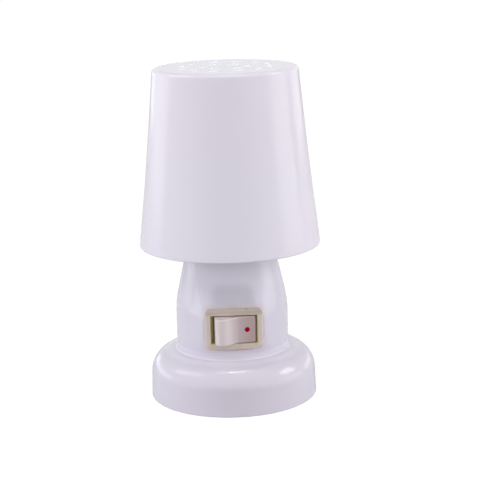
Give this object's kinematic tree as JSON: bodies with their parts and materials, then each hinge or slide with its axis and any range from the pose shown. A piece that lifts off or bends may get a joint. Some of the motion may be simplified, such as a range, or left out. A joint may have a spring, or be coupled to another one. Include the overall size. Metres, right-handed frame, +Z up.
{
  "type": "night light",
  "caption": "Plug-in night light standing on a round base, with a flared opal shade on a tapered neck, a rocker switch in front and a two-pin plug behind.",
  "frame": {"origin": "centre of the flat underside of the base", "axes": "+Z up, the switch faces -Y, the plug pins point along +Y"},
  "size_m": [0.068, 0.105, 0.125],
  "materials": {
    "housing_opal": "glossy opal moulding",
    "shade_opal": "glossy opal moulding",
    "cover_plastic": "fine matt moulding",
    "bezel_cream": "satin moulding",
    "rocker_white": "satin moulding",
    "marker_red": "glossy",
    "plug_plastic": "satin moulding",
    "sleeve_plastic": "satin",
    "holder_plastic": "pressed phenolic",
    "nickel_brass": "nickel plated",
    "zinc_steel": "zinc plated",
    "brass": "bright pressed strip",
    "spring_steel": "drawn wire",
    "cap_aluminium": "drawn sheet",
    "solder": "soldered",
    "vitrite": "black glass",
    "cement": "baked cement",
    "clear_glass": "clear",
    "filament_wire": "tungsten",
    "wire_brown": "smooth sleeve",
    "wire_blue": "smooth sleeve"
  },
  "bodies": {
    "lamp": {"body_housing": "housing_opal", "bottom_cover": "cover_plastic", "cover_screws": "zinc_steel", "switch_housing": "bezel_cream", "middle_terminal": "brass", "load_terminal": "brass", "plug_block": "plug_plastic", "plug_screws": "zinc_steel", "plug_pin_left": "nickel_brass", "plug_pin_right": "nickel_brass", "pin_sleeve_left": "sleeve_plastic", "pin_sleeve_right": "sleeve_plastic", "pin_tag_left": "brass", "pin_tag_right": "brass", "lampholder_body": "holder_plastic", "lampholder_ring": "holder_plastic", "lampholder_shell": "brass", "lampholder_contact": "brass", "lampholder_side_tab": "brass", "wire_line": "wire_brown", "wire_switched": "wire_brown", "wire_neutral": "wire_blue"},
    "shade": {"shade": "shade_opal", "shade_collar": "shade_opal"},
    "rocker": {"switch_rocker": "rocker_white", "rocker_dot": "marker_red", "rocker_plunger": "cover_plastic", "plunger_spring": "spring_steel"},
    "blade": {"contact_blade": "brass"},
    "bulb": {"bulb_glass": "clear_glass", "bulb_cap": "cap_aluminium", "bulb_insulator": "vitrite", "bulb_contact": "solder", "bulb_cement": "cement", "bulb_stem": "clear_glass", "bulb_leads": "filament_wire", "bulb_filament": "filament_wire"}
  },
  "joints": [
    {"name": "rocker_tilt", "type": "hinge", "parent": "lamp", "child": "rocker", "pos_m": [0, -0.0204, 0.0308], "axis": [0, 0, -1], "range_deg": [0, 24]},
    {"name": "blade_tilt", "type": "hinge", "parent": "lamp", "child": "blade", "pos_m": [0, -0.0122, 0.0308], "axis": [0, 0, 1], "range_deg": [0, 9.6]},
    {"name": "shade_lift", "type": "slide", "parent": "lamp", "child": "shade", "axis": [0, 0, 1], "range_m": [0, 0.055]},
    {"name": "bulb_turn", "type": "hinge", "parent": "lamp", "child": "bulb", "pos_m": [0, 0, 0.06], "axis": [0, 0, 1], "range_deg": [0, 1080]}
  ],
  "couplings": [
    {"joint": "blade_tilt", "follows": "rocker_tilt", "ratio": 0.4}
  ]
}
